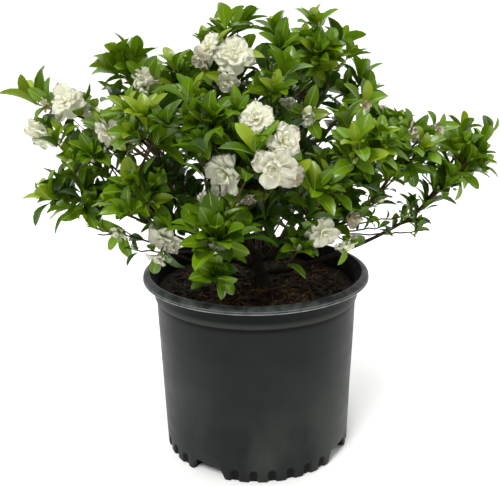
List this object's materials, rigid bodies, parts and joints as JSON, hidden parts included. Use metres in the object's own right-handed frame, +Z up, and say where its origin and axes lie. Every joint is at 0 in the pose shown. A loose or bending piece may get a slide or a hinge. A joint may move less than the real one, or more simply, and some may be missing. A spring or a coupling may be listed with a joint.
{
  "type": "azalea shrub in nursery pot",
  "caption": "Evergreen azalea shrub with ruffled white blooms, many thin boughs from a short stem, in a round tapered nursery pot that stands on its flat underside.",
  "frame": {"origin": "centre of the pot's flat underside, on the ground", "axes": "+Z up along the pot's axis, +X along the crown's greatest spread, -Y towards the side the shrub shows"},
  "size_m": [0.5837, 0.4522, 0.548],
  "materials": {
    "pot": "matte charcoal moulded plastic",
    "mix": "moist shredded bark potting mix",
    "bark": "rough grey-brown bark",
    "foliage": "dense small evergreen leaves with white blooms"
  },
  "bodies": {
    "root": {"bough_back": "bark", "bough_back_left": "bark", "bough_back_low": "bark", "bough_back_right": "bark", "bough_back_top_left": "bark", "bough_back_top_right": "bark", "bough_centre_bloom": "bark", "bough_centre_left": "bark", "bough_centre_right": "bark", "bough_centre_top": "bark", "bough_crown_right": "bark", "bough_far_left": "bark", "bough_far_right": "bark", "bough_front_left": "bark", "bough_left_inner": "bark", "bough_left_low": "bark", "bough_left_mid": "bark", "bough_left_shoulder": "bark", "bough_low_left": "bark", "bough_right_mid": "bark", "bough_right_outer": "bark", "bough_right_shoulder": "bark", "bough_top": "bark", "bough_top_right": "bark", "bough_upper_left": "bark", "foliage_back": "foliage", "foliage_back_left": "foliage", "foliage_back_low": "foliage", "foliage_back_right": "foliage", "foliage_back_top_left": "foliage", "foliage_back_top_right": "foliage", "foliage_centre_bloom": "foliage", "foliage_centre_left": "foliage", "foliage_centre_low": "foliage", "foliage_centre_right": "foliage", "foliage_centre_top": "foliage", "foliage_crown_right": "foliage", "foliage_far_left": "foliage", "foliage_far_right": "foliage", "foliage_front_left": "foliage", "foliage_front_right": "foliage", "foliage_front_sprig": "foliage", "foliage_left_front": "foliage", "foliage_left_inner": "foliage", "foliage_left_low": "foliage", "foliage_left_mid": "foliage", "foliage_left_shoulder": "foliage", "foliage_low_left": "foliage", "foliage_right_inner": "foliage", "foliage_right_low": "foliage", "foliage_right_mid": "foliage", "foliage_right_outer": "foliage", "foliage_right_shoulder": "foliage", "foliage_top": "foliage", "foliage_top_bloom": "foliage", "foliage_top_right": "foliage", "foliage_upper_left": "foliage", "nursery_pot": "pot", "potting_mix": "mix", "stem": "bark"}
  },
  "joints": []
}
